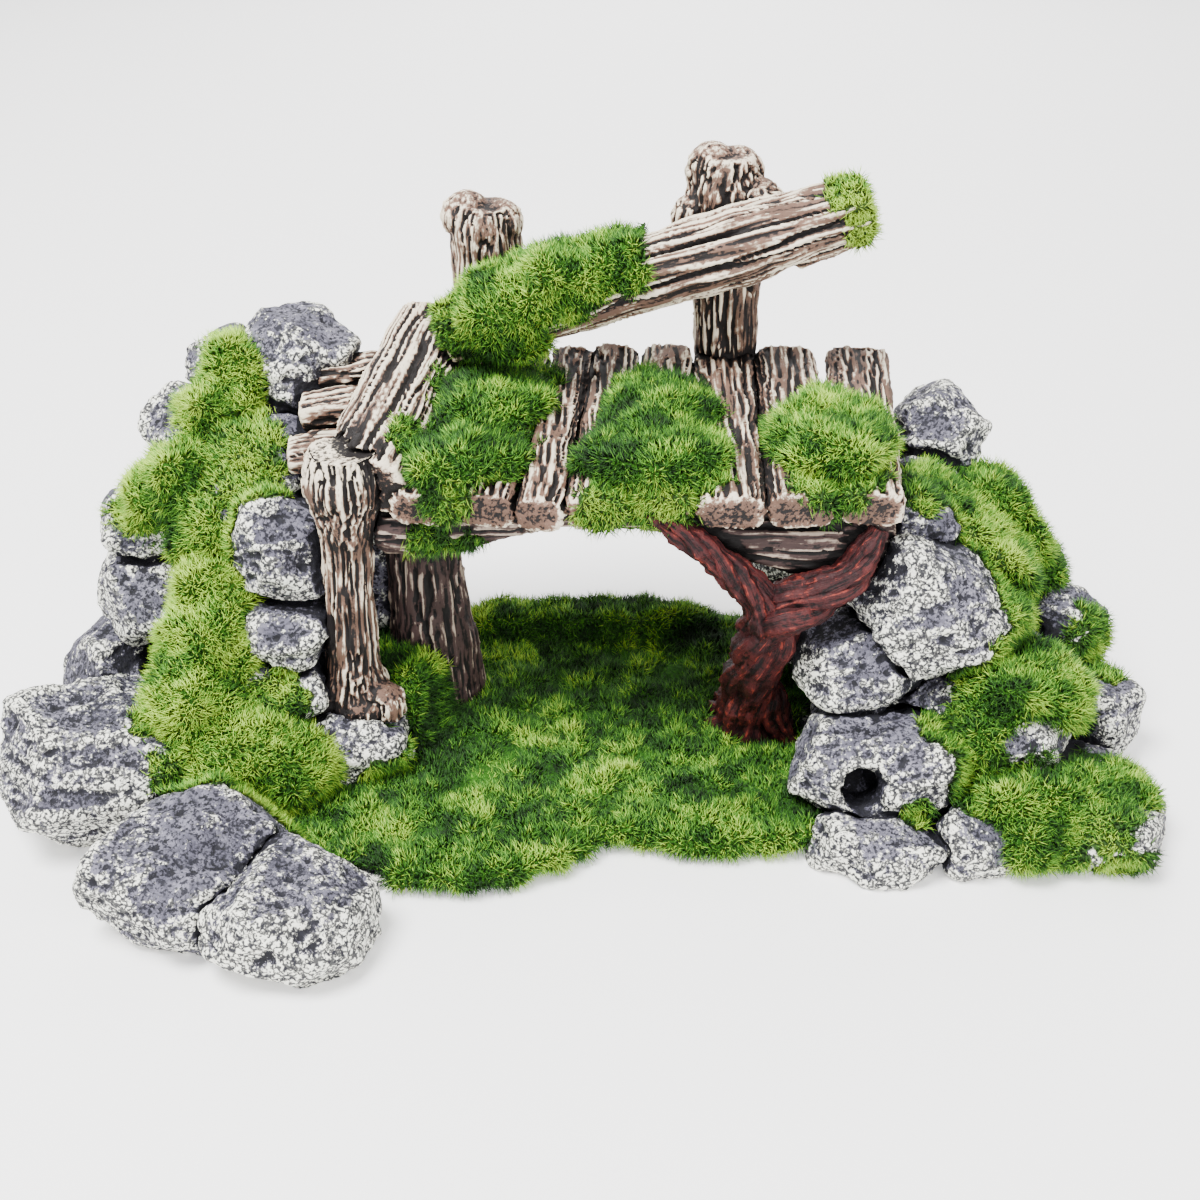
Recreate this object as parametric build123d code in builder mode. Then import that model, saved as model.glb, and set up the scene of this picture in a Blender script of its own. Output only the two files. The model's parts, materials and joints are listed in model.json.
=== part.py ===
"""Resin cave ornament: a plank bridge between two piles of stones, with flocked moss.

Millimetres, +Z up, X along the ornament, -Y towards the side it is looked at from.
The origin is the centre of the footprint, on the surface that the ornament stands on.
Every stone, timber, root and moss pad is its own solid. A piece made later gives way
to the pieces made before it, so neighbours meet face to face and never overlap.
Hollows are spaces that later pieces leave open.
"""

from build123d import *
import math
import os
import random

# Driving dimensions
SLAB_THICKNESS = 3.5
LAWN_TOP = 5.5
DECK_FRONT_Y = -1.0
DECK_BACK_Y = 47.0
DECK_FRONT_TOP = 61.5
DECK_BACK_TOP = 69.0
PLANK_THICKNESS = 6.5
RAIL_POST_Y = 47.5
RAIL_Y = 35.5
RAIL_RADIUS = 6.6
PEEP_HOLE_RADIUS = 4.5
PEEP_HOLE_DEPTH = 9.0

STONE_FACETS = 14
MOSS_FACETS = 14
SPIRAL = math.pi * (3 - math.sqrt(5))

os.makedirs("parts", exist_ok=True)
pieces = {}
hollows = []


def keep(label, part):
    """Cuts a piece back from those already made, keeps its largest solid and writes it."""
    with BuildPart() as made:
        add(part)
        for other in [*pieces.values(), *hollows]:
            if touching(made.part, other):
                add(other, mode=Mode.SUBTRACT)
    solid = max(made.part.solids(), key=lambda s: s.volume)
    solid.label = label
    export_step(solid, f"parts/{label}.step")
    pieces[label] = solid
    return solid


def touching(one, other):
    """True if the bounding boxes of two shapes meet."""
    a, b = one.bounding_box(), other.bounding_box()
    return all(
        low < high
        for low, high in (
            (a.min.X, b.max.X), (b.min.X, a.max.X),
            (a.min.Y, b.max.Y), (b.min.Y, a.max.Y),
            (a.min.Z, b.max.Z), (b.min.Z, a.max.Z),
        )
    )


def faceted(centre, size, turn, facets, roundness, seed):
    """A block with its corners knocked off by planes that touch an ellipsoid inside it."""
    chance = random.Random(seed)
    half = Vector(*size) * 0.5
    with BuildPart() as block:
        Box(*size)
        for i in range(facets):
            up = 1 - (2 * i + 1) / facets
            ring = math.sqrt(1 - up * up)
            angle = SPIRAL * i + chance.uniform(-0.5, 0.5)
            normal = Vector(ring * math.cos(angle), ring * math.sin(angle), up)
            reach = Vector(normal.X * half.X, normal.Y * half.Y, normal.Z * half.Z).length
            cut = normal * (reach * chance.uniform(roundness, 1.04))
            split(bisect_by=Plane(origin=cut, z_dir=normal), keep=Keep.BOTTOM)
    with BuildPart() as placed:
        with Locations(Location(centre, turn)):
            add(block.part)
        split(bisect_by=Plane.XY, keep=Keep.TOP)
    return placed.part


def stone(label, centre, size, turn=(0, 0, 0)):
    """One stone of a pile, standing no lower than the surface under the ornament."""
    return keep(label, faceted(centre, size, turn, STONE_FACETS, 0.84, label))


def moss(label, *lobes):
    """A pad of flock over the pieces under it: a row of soft lobes, each a centre and a size."""
    with BuildPart() as pad:
        for i, (centre, size) in enumerate(lobes):
            add(faceted(centre, size, (0, 0, 40 * i), MOSS_FACETS, 0.93, f"{label} {i}"))
    return keep(label, pad.part)


def timber(label, start, end, radii):
    """A round timber. Its radii are spaced evenly from start to end."""
    start, end = Vector(*start), Vector(*end)
    along = (end - start).normalized()
    across = along.cross(Vector(0, 1, 0) if abs(along.Y) < 0.9 else Vector(1, 0, 0)).normalized()
    length = (end - start).length
    step = length / (len(radii) - 1)
    profile = [(radius, i * step) for i, radius in enumerate(radii)]
    with BuildPart() as log:
        with BuildSketch(Plane(origin=start, x_dir=across, z_dir=across.cross(along))):
            with BuildLine():
                Spline(*profile)
                Polyline((radii[-1], length), (0, length), (0, 0), (radii[0], 0))
            make_face()
        revolve(axis=Axis(start, along))
    return keep(label, log.part)


def board(label, start, end, width, thickness):
    """A plank from the middle of one end face to the middle of the other."""
    start, end = Vector(*start), Vector(*end)
    along = (end - start).normalized()
    across = along.cross(Vector(0, 0, 1)).normalized()
    with BuildPart() as plank:
        with BuildSketch(Plane(origin=start, x_dir=across, z_dir=along)):
            RectangleRounded(width, thickness, thickness * 0.42)
        extrude(amount=(end - start).length)
    return keep(label, plank.part)


def limb(points, radii):
    """A tapering length of root through the points, with one radius at each."""
    points = [Vector(*p) for p in points]
    with BuildPart() as grown:
        for i, (point, radius) in enumerate(zip(points, radii)):
            before, after = points[max(i - 1, 0)], points[min(i + 1, len(points) - 1)]
            with BuildSketch(Plane(origin=point, z_dir=(after - before).normalized())):
                Circle(radius)
        loft()
    return grown.part


# The deck: planks side by side from the near edge to the far edge
def deck():
    front_z = DECK_FRONT_TOP - PLANK_THICKNESS / 2
    back_z = DECK_BACK_TOP - PLANK_THICKNESS / 2
    planks = (
        # x at the near end, x at the far end, width, how far the near end stands out
        (-28.0, -22.0, 11.0, 0.0),
        (-17.5, -12.0, 10.0, 0.5),
        (-8.2, -3.0, 8.0, 2.0),
        (1.2, 5.0, 9.6, 1.5),
        (12.0, 15.0, 10.0, 1.0),
        (24.0, 25.6, 11.4, 1.5),
        (36.0, 37.2, 11.4, 1.0),
        (47.6, 51.0, 11.4, 0.0),
    )
    for number, (near_x, far_x, width, reach) in enumerate(planks, start=2):
        near = (near_x, DECK_FRONT_Y - reach, front_z)
        far = (far_x, DECK_BACK_Y, back_z)
        board(f"plank_{number}", near, far, width, PLANK_THICKNESS)


def bridge():
    timber("front_post", (-43.5, 6.0, 12.5), (-41.5, 4.5, 67.5),
           (8.2, 6.0, 5.0, 4.8, 5.0, 6.9, 6.2))
    board("edge_log", (-38.5, 1.5, 61.5), (-29.5, 50.0, 71.5), 15.0, 11.0)
    deck()
    keep("front_beam", limb(
        [(-37.5, 7.5, 52), (-22, 7, 52.5), (-8, 6.5, 55.5), (10, 6.5, 55.5), (26, 7, 51.5),
         (42, 8, 48.5), (53, 9, 48)], (4.6, 5.0, 4.2, 4.2, 5.5, 6.8, 5.0)))
    timber("rear_beam", (-40.0, 38.0, 55.5), (54.0, 38.0, 55.5), (4.6, 5.0, 4.6, 4.8, 4.4))
    timber("rear_trunk", (-30.0, 27.0, 4.0), (-32.5, 27.0, 58.0), (9.0, 8.0, 7.0, 6.5, 6.5))
    timber("left_rail_post", (-19.5, RAIL_POST_Y, 64.0), (-19.0, RAIL_POST_Y, 96.0),
           (6.0, 5.6, 5.8, 6.2, 5.0))
    timber("right_rail_post", (26.0, RAIL_POST_Y, 62.0), (24.5, RAIL_POST_Y, 105.0),
           (6.6, 5.8, 6.0, 7.0, 7.0, 5.4))
    timber("rail", (-26.0, RAIL_Y, 76.0), (48.5, RAIL_Y, 99.0),
           (5.6, RAIL_RADIUS, 6.6, 6.4, 6.6, 6.2, 5.6))
    middles = ((-46.5, 18.5, 59.5), (-45.5, 28.0, 63.5), (-43.5, 37.5, 67.0))
    for number, (x, y, z) in enumerate(middles, start=1):
        board(f"ramp_board_{number}", (x - 6.5, y, z), (x + 6.5, y + 1, z + 1), 9.4, 4.5)


def red_root():
    """The forked root that climbs the near side of the opening and cradles the beam."""
    with BuildPart() as root:
        add(limb([(31, 15, 4), (30.5, 11, 14), (31.5, 6, 26), (32.5, 1, 38)], (7.4, 5.2, 4.8, 5.6)))
        add(limb([(33, 1, 37), (26, -1, 45), (19, -1.5, 52), (10.5, -1.5, 57)], (5, 3.6, 3.2, 2.2)))
        add(limb([(32, 1, 37), (40, -1, 41.5), (45.5, -1, 46), (49.5, 0, 53.5)], (5, 4.2, 3.6, 2.4)))
        add(limb([(31, 12, 15), (35, 10, 8), (38, 8.5, 4)], (4.4, 3.6, 2.4)))
        add(limb([(30, 14, 10), (27, 18, 6), (24.5, 21, 4)], (4.4, 3.4, 2.4)))
    keep("red_root", root.part)


def left_pile():
    stone("foot_stone", (-44.0, 3.0, 9.0), (21, 19, 16), (0, 4, 12))
    stone("front_boulder", (-48.0, -44.5, 6.5), (28, 27, 16), (0, 5, 24))
    stone("left_front_boulder", (-65.5, -35.0, 8.0), (29, 33, 19), (6, 0, -14))
    stone("left_toe_boulder", (-85.4, -5.5, 10.5), (37.6, 36, 22), (0, 8, 10))
    stone("left_cobble", (-90.0, 22.0, 10.5), (22, 26, 22), (0, 0, 30))
    stone("arch_stone", (-81.5, 22.0, 29.5), (20, 22, 17), (8, 10, -8))
    stone("left_step", (-80.5, 28.0, 43.5), (21, 22, 14), (0, -8, 14))
    stone("left_shoulder", (-72.0, 34.0, 58.5), (16, 20, 14), (0, 6, -20))
    stone("left_crest", (-66.0, 42.0, 66.0), (18, 20, 12), (0, 12, 10))
    stone("top_boulder", (-55.5, 43.0, 66.5), (23, 24, 19), (0, 6, -10))
    stone("upper_ledge", (-55.5, 12.0, 44.5), (16, 20, 20), (0, 4, 8))
    stone("middle_ledge", (-54.0, 8.0, 30.0), (20, 20, 10), (0, -6, -6))
    stone("lower_ledge", (-56.0, 5.0, 19.5), (20, 18, 9), (0, 5, 10))
    stone("left_back_stone", (-83.0, 41.0, 14.0), (30, 26, 30), (0, 0, 18))
    stone("left_rear_wall", (-50.0, 43.5, 26.0), (32, 24, 56), (0, 0, -6))
    with BuildPart() as core:
        add(faceted((-68, 21, 12.6), (38, 50, 25.2), (0, 0, 6), STONE_FACETS, 0.84, "left core low"))
        add(faceted((-60, 30, 43), (32, 40, 40), (0, 0, -8), STONE_FACETS, 0.84, "left core high"))
    keep("left_core", core.part)


def right_pile():
    peep_stone()
    stone("right_front_boulder", (51.0, -20.0, 3.0), (24, 20, 11), (0, 0, 10))
    stone("right_front_cobble", (66.5, -21.0, 4.0), (14, 15, 12), (0, 6, -20))
    stone("tilted_boulder", (61.5, 6.0, 36.0), (36, 24, 21), (0, 26, -10))
    stone("right_wall_stone", (50.0, 5.0, 25.0), (25, 22, 15), (0, -8, 8))
    stone("beam_stone", (57.5, 16.0, 47.0), (19, 20, 15), (0, 16, 12))
    stone("right_top_stone", (66.5, 41.0, 53.5), (16, 20, 15), (0, 16, -12))
    stone("right_mid_cobble", (91.0, 24.0, 20.0), (15, 17, 14), (0, 14, -14))
    stone("right_low_cobble", (95.5, 12.0, 8.5), (15, 18, 16), (0, 0, 20))
    stone("right_toe_boulder", (87.0, -12.0, 4.0), (35, 31, 12), (0, 0, -4))
    stone("right_back_stone", (76.0, 42.0, 14.0), (34, 26, 28), (0, 0, -20))
    stone("right_rear_wall", (46.0, 43.5, 28.0), (24, 24, 58), (0, 0, 8))
    with BuildPart() as core:
        add(faceted((68, 16, 12), (54, 62, 27), (0, 0, -6), STONE_FACETS, 0.84, "right core low"))
        add(faceted((64, 28, 36), (38, 42, 34), (0, 14, 6), STONE_FACETS, 0.84, "right core high"))
    keep("right_core", core.part)


def peep_stone():
    """The stone with the round blind hole in its near face."""
    mouth = Plane(origin=(47.8, -17.5, 12.6), x_dir=(1, 0, 0), z_dir=(0, -0.94, 0.34))
    with BuildPart() as hole:
        with BuildSketch(mouth.offset(6)):
            Circle(PEEP_HOLE_RADIUS)
        extrude(amount=-(6 + PEEP_HOLE_DEPTH))
    with BuildPart() as holed:
        add(faceted((54, -9, 11), (36, 23, 17), (0, 4, 4), STONE_FACETS, 0.84, "peep stone"))
        add(hole.part, mode=Mode.SUBTRACT)
    keep("peep_stone", holed.part)
    hollows.append(hole.part)


def base():
    outline = ((-86, 10), (-78, -12), (-72, -36), (-52, -42), (-34, -30), (5, -16), (36, -18),
               (70, -20), (90, -10), (84, 22), (64, 46), (20, 53), (-30, 52), (-68, 46))
    with BuildPart() as slab:
        with BuildSketch():
            with BuildLine():
                Spline(*outline, periodic=True)
            make_face()
        extrude(amount=SLAB_THICKNESS)
    keep("base_slab", slab.part)


def lawn():
    """The mossy floor, with a bank along the far edge and one at the foot of the trunk."""
    clearance = 0.6
    outline = ((-62, -14), (-52, -25), (-34, -32), (-18, -33), (-5, -27), (5, -20.5), (17, -23.5),
               (33, -22.5), (43, -22), (48, -6), (46, 30), (34, 54), (8, 56), (-20, 56), (-38, 52),
               (-50, 20))
    with BuildPart() as floor:
        with BuildSketch(Plane.XY.offset(clearance)):
            with BuildLine():
                Spline(*outline, periodic=True)
            make_face()
        extrude(amount=LAWN_TOP - clearance)
        add(faceted((0, 50, 4), (64, 12, 12), (0, 0, 0), MOSS_FACETS, 0.93, "far bank"))
        add(faceted((-36, 22, 8), (20, 40, 24), (0, 0, 0), MOSS_FACETS, 0.93, "trunk bank"))
        split(bisect_by=Plane.XY.offset(clearance), keep=Keep.TOP)
    keep("lawn", floor.part)


def moss_pads():
    moss("moss_left_upper",
         ((-65.5, 37, 68), (15, 16, 14)), ((-67.5, 31, 60.5), (19, 18, 16)),
         ((-72, 24, 52.5), (24, 18, 16)), ((-79, 21, 49), (14, 14, 11)),
         ((-66, 17, 45), (17, 17, 18)))
    moss("moss_left_lower",
         ((-66.5, 10, 36), (17, 17, 18)), ((-67, 4, 28), (20, 18, 18)),
         ((-70, -3, 20), (22, 20, 18)), ((-64, -8, 13), (22, 20, 16)),
         ((-54, -8, 11), (19, 18, 15)))
    moss("moss_right_upper",
         ((65, 31, 47), (17, 16, 11)), ((73, 29, 44), (19, 18, 14)),
         ((78, 27, 37), (14, 18, 14)), ((85, 30, 29), (15, 15, 14)))
    moss("moss_right_middle", ((77, -2, 21), (26, 22, 18)), ((70, -8, 15), (18, 16, 14)))
    moss("moss_right_lower",
         ((80, -15, 8.5), (28, 20, 12)), ((93, -12, 7.5), (16, 20, 9)),
         ((77, -22, 5), (18, 12, 9)), ((90, -22, 4), (16, 10, 7)))
    moss("moss_deck_left", ((-23, 10, 62.5), (27, 26, 11)), ((-18, 26, 65.5), (24, 24, 11)))
    moss("moss_deck_middle", ((11, 10, 62.5), (29, 28, 12)), ((13, 25, 65), (24, 22, 10)))
    moss("moss_deck_right", ((42, 15, 63.5), (24, 32, 12)))
    moss("moss_rail", ((-15, 34, 80.5), (18, 20, 17)), ((-5, 34.5, 85), (18, 20, 15)),
         ((6, 35, 88.5), (16, 18, 13)))


bridge()
red_root()
left_pile()
right_pile()
base()
lawn()
moss_pads()
print(len(pieces), "pieces", round(sum(p.volume for p in pieces.values()) / 1000, 1), "cm3")
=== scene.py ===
# %% [markdown]
# # A resin cave ornament
# The ornament is a painted casting: two piles of stones, a bridge of logs and planks, a twisted root,
# and moss made of short fibres that stand in glue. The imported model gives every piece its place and
# size as a plain solid. Here each solid is sculpted, painted or planted.

import json
import math

import bmesh
import bpy
import numpy as np
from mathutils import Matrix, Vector
from mathutils.bvhtree import BVHTree


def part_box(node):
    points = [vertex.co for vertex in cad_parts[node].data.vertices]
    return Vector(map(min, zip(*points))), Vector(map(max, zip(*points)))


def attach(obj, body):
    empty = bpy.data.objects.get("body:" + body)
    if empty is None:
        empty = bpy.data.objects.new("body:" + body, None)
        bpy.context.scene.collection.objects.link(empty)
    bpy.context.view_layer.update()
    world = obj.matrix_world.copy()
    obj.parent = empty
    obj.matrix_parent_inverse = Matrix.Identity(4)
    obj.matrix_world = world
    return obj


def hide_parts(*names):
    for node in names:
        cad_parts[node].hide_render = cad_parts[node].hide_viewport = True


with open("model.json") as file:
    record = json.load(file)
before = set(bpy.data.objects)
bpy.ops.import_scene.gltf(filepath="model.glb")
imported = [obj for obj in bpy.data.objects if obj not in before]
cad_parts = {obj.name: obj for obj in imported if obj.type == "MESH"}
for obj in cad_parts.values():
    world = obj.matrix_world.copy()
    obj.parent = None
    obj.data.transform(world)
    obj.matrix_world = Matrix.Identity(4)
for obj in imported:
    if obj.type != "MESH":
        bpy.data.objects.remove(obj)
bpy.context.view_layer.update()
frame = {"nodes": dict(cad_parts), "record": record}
MM = 0.001

# %% [markdown]
# ## Which node is what
# The record gives each node a material slot, so the sorting into stones, timbers and moss pads can be
# read from there. The list then stays right if a stone is added to the model.

# %% Sort the nodes by their slots
slot_of = {part["node"]: part["material_slot"] for part in frame["record"]["subparts"]}


def nodes_with(*slots):
    """The names of the nodes that wear one of these slots, in a fixed order."""
    return sorted(node for node, slot in slot_of.items() if slot in slots)


stones = nodes_with("stone_paint", "cast_resin")
timbers = nodes_with("pale_wood_paint", "dark_wood_paint")
pads = nodes_with("moss_flock")
print(len(stones), "stones,", len(timbers), "timbers,", len(pads), "moss pads")

# %% [markdown]
# ## Small helpers for node trees
# Both the sculpting and the paints are node trees. One helper adds a node and fills its sockets, by a
# number or by a link, so that a tree below reads as a list of steps.


# %% Helpers for node trees
def add_node(tree, kind, sockets=None, **settings):
    """Adds a node, sets its settings, and fills its sockets with values or links."""
    made = tree.nodes.new(kind)
    for name, value in settings.items():
        setattr(made, name, value)
    for name, value in (sockets or {}).items():
        by_name = [s for s in made.inputs if s.enabled and s.name == name]
        socket = made.inputs[name] if isinstance(name, int) else by_name[0]
        if isinstance(value, bpy.types.NodeSocket):
            tree.links.new(value, socket)
        else:
            socket.default_value = value
    return made


def first_output(made):
    return next(s for s in made.outputs if s.enabled)


def calc(tree, operation, *values, clamp=False):
    """A Math node's result."""
    sockets = dict(enumerate(values))
    return add_node(tree, "ShaderNodeMath", sockets, operation=operation, use_clamp=clamp).outputs[0]


def times(tree, value, factor):
    return calc(tree, "MULTIPLY", value, factor)


def weigh(tree, value, weight, base):
    """The value times its weight, added to the base."""
    return calc(tree, "MULTIPLY_ADD", value, weight, base)


def vector_calc(tree, operation, *values):
    """A Vector Math node's result. Scale takes its factor last."""
    sockets = dict(enumerate(values))
    if operation == "SCALE":
        sockets = {0: values[0], 3: values[1]}
    made = add_node(tree, "ShaderNodeVectorMath", sockets, operation=operation)
    return made.outputs["Value" if operation in ("DOT_PRODUCT", "LENGTH") else "Vector"]


def ramp(tree, value, low, high, out_low=0.0, out_high=1.0):
    """A smooth step from out_low to out_high as the value goes from low to high."""
    sockets = {"Value": value, "From Min": low, "From Max": high, "To Min": out_low, "To Max": out_high}
    return first_output(add_node(tree, "ShaderNodeMapRange", sockets, interpolation_type="SMOOTHSTEP"))


def noise(tree, place, size, detail=2.0, rough=0.5, seed=0.0):
    """Noise between 0 and 1 whose lumps are about this size, in the units of place."""
    sockets = {"Vector": place, "W": seed, "Scale": 1 / size, "Detail": detail, "Roughness": rough}
    return add_node(tree, "ShaderNodeTexNoise", sockets, noise_dimensions="4D").outputs[0]


def swing(tree, *settings):
    """The same noise about its middle, from -0.5 to 0.5."""
    return calc(tree, "SUBTRACT", noise(tree, *settings), 0.5)


def cells(tree, place, size, seed=0.0):
    """How far a point is from a cell's middle, in cells of this size."""
    sockets = {"Vector": place, "W": seed, "Scale": 1 / size}
    made = add_node(tree, "ShaderNodeTexVoronoi", sockets, voronoi_dimensions="4D")
    return made.outputs["Distance"]


# %% [markdown]
# Geometry node trees get their sizes as named inputs, and a modifier sets an input by the socket's
# identifier. The result is turned into plain mesh at once, because nothing here moves.


# %% Helpers for geometry nodes
def new_tree(name, inputs):
    """A geometry tree with these named inputs, and its group input and output nodes."""
    tree = bpy.data.node_groups.new(name, "GeometryNodeTree")
    tree.interface.new_socket("Geometry", in_out="INPUT", socket_type="NodeSocketGeometry")
    tree.interface.new_socket("Geometry", in_out="OUTPUT", socket_type="NodeSocketGeometry")
    for label, (kind, default) in inputs.items():
        made = tree.interface.new_socket(label, in_out="INPUT", socket_type="NodeSocket" + kind)
        if default is not None:
            made.default_value = default
    return tree, tree.nodes.new("NodeGroupInput").outputs, tree.nodes.new("NodeGroupOutput").inputs[0]


def use_tree(piece, tree, **values):
    """Puts the tree on a piece as a modifier, with its inputs set by identifier."""
    modifier = piece.modifiers.new(tree.name, "NODES")
    modifier.node_group = tree
    for socket in tree.interface.items_tree:
        key = socket.name.lower().replace(" ", "_")
        if socket.in_out == "INPUT" and key in values:
            modifier[socket.identifier] = values[key]


def vertex_places(mesh):
    """The places of a mesh's vertices, one row each."""
    places = np.empty(len(mesh.vertices) * 3, dtype=np.float32)
    mesh.vertices.foreach_get("co", places)
    return places.reshape(-1, 3)


def store(mesh, name, values):
    """Keeps one number for each vertex under this name."""
    mesh.attributes.new(name, "FLOAT", "POINT").data.foreach_set("value", values)


def new_object(name, data):
    """An object with this data, linked to the scene."""
    made = bpy.data.objects.new(name, data)
    bpy.context.scene.collection.objects.link(made)
    return made


def press_to_table(mesh, places):
    """Writes the places back to the mesh, with none below the table."""
    places[:, 2] = np.maximum(places[:, 2], 0.0)
    mesh.vertices.foreach_set("co", places.ravel())


def settle(piece, material):
    """Turns a piece and its modifiers into one plain mesh that wears the material. What would
    reach below the table is pressed flat."""
    depsgraph = bpy.context.evaluated_depsgraph_get()
    shown = piece.evaluated_get(depsgraph)
    mesh = bpy.data.meshes.new_from_object(shown, preserve_all_data_layers=True, depsgraph=depsgraph)
    piece.modifiers.clear()
    piece.data = mesh
    press_to_table(mesh, vertex_places(mesh))
    mesh.materials.clear()
    mesh.materials.append(material)
    mesh.shade_smooth()
    return piece


def keep_attribute(tree, geometry, name, value, kind="FLOAT", domain="POINT"):
    """Stores a value on the mesh for the paint to read."""
    sockets = {"Geometry": geometry, "Name": name, "Value": value}
    made = add_node(
        tree, "GeometryNodeStoreNamedAttribute", sockets, data_type=kind, domain=domain
    )
    return made.outputs[0]


def in_millimetres(tree):
    """A vertex's place in millimetres, so that every size in a tree is in millimetres."""
    return vector_calc(tree, "SCALE", tree.nodes.new("GeometryNodeInputPosition").outputs[0], 1 / MM)


def push(tree, geometry, height):
    """Moves the surface along its normals by a height in millimetres."""
    normal = tree.nodes.new("GeometryNodeInputNormal").outputs[0]
    offset = vector_calc(tree, "SCALE", normal, times(tree, height, MM))
    made = add_node(tree, "GeometryNodeSetPosition", {"Geometry": geometry, "Offset": offset})
    return made.outputs[0]


def ridge_height(tree, iterations):
    """How far the surface stands out from its own smoothed shape, in millimetres: above 0 on a
    ridge or an edge, and below 0 in a groove."""
    place = in_millimetres(tree)
    sockets = {"Value": place, "Iterations": iterations}
    smooth = first_output(
        add_node(tree, "GeometryNodeBlurAttribute", sockets, data_type="FLOAT_VECTOR")
    )
    normal = tree.nodes.new("GeometryNodeInputNormal").outputs[0]
    return vector_calc(tree, "DOT_PRODUCT", vector_calc(tree, "SUBTRACT", place, smooth), normal)


def glue_edge(tree, place, reach):
    """Where the glue of a brush stroke lies: 1 inside its ragged edge and 0 outside."""
    ragged = swing(tree, place, 3.5, 2.0, 0.6, 6.0)
    return ramp(tree, weigh(tree, ragged, 1.1, reach), 0.06, 0.12)


def facing_up(tree):
    """How far the surface faces up, from -1 to 1."""
    normal = tree.nodes.new("GeometryNodeInputNormal").outputs[0]
    return add_node(tree, "ShaderNodeSeparateXYZ", {0: normal}).outputs[2]


# %% [markdown]
# ## Crevices
# A painted shade darkens the gaps between the pieces, and flock doesn't reach into them. Both need to
# know how much open sky a point has, so rays are cast from it and the share that meets nothing is kept.


# %% How much open sky a point has
def solid_tree(nodes):
    """One tree of all the triangles of these nodes, and the node that each triangle is from."""
    verts, faces, owners = [], [], []
    for node in nodes:
        mesh = frame["nodes"][node].data
        start = len(verts)
        verts += [v.co.copy() for v in mesh.vertices]
        faces += [tuple(start + i for i in polygon.vertices) for polygon in mesh.polygons]
        owners += [node] * len(mesh.polygons)
    return BVHTree.FromPolygons(verts, faces), owners


def directions(number):
    """This many directions, spread evenly over a sphere."""
    golden = math.pi * (3 - math.sqrt(5))
    made = []
    for i in range(number):
        up = 1 - (2 * i + 1) / number
        ring = math.sqrt(1 - up * up)
        made.append(Vector((ring * math.cos(golden * i), ring * math.sin(golden * i), up)))
    return made


obstacles, owners = solid_tree([node for node in slot_of if node not in pads])
AHEAD = 0.2  # a direction counts as in front when its dot product with the normal is above this


def sky_share(mesh, lift=0.7, reach=26.0, rays=26):
    """For each vertex, the share of the directions in front of it that meet nothing nearby."""
    sky = directions(rays)
    shares = np.zeros(len(mesh.vertices))
    for i, vertex in enumerate(mesh.vertices):
        start = vertex.co + vertex.normal * lift * MM
        ahead = [ray for ray in sky if ray.dot(vertex.normal) > AHEAD]
        free = sum(obstacles.ray_cast(start, ray, reach * MM)[0] is None for ray in ahead)
        shares[i] = free / max(len(ahead), 1)
    return shares


# %% [markdown]
# A dark gap shows where two stones or boards meet. So a groove is pressed along each seam, and how
# near a seam each vertex lies is kept for a painted shade along the seam.


# %% Grooves along the seams
def keep_crevices(mesh, node, depth, reach=2.6):
    """Presses a groove along each seam with another piece, and stores how open each vertex is and
    how near a seam it lies, for the painted shade in crevices and along seams. The reach and the depth
    are in millimetres."""
    seams = np.zeros(len(mesh.vertices), dtype=np.float32)
    normals = np.empty(len(mesh.vertices) * 3, dtype=np.float32)
    mesh.vertices.foreach_get("normal", normals)
    for i, vertex in enumerate(mesh.vertices):
        near = obstacles.find_nearest_range(vertex.co, reach * MM)
        gaps = [hit[3] for hit in near if owners[hit[2]] != node]
        if gaps:
            seams[i] = 1 - min(gaps) / (reach * MM)
    places = vertex_places(mesh) - normals.reshape(-1, 3) * (seams**1.5 * depth * MM)[:, None]
    press_to_table(mesh, places)
    store(mesh, "open", sky_share(mesh, lift=1.6, reach=15.0, rays=14))
    store(mesh, "seam", seams)


# %% [markdown]
# ## Sculpting a stone
# The stones look cut, chipped and stippled. The same marks can be made as displacement in steps: large
# lumps bend the flat cuts, bedding gives ledges, cells give chips and pits, and fine grain comes last.
# A voxel remesh first gives the plain block an even skin.


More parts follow.
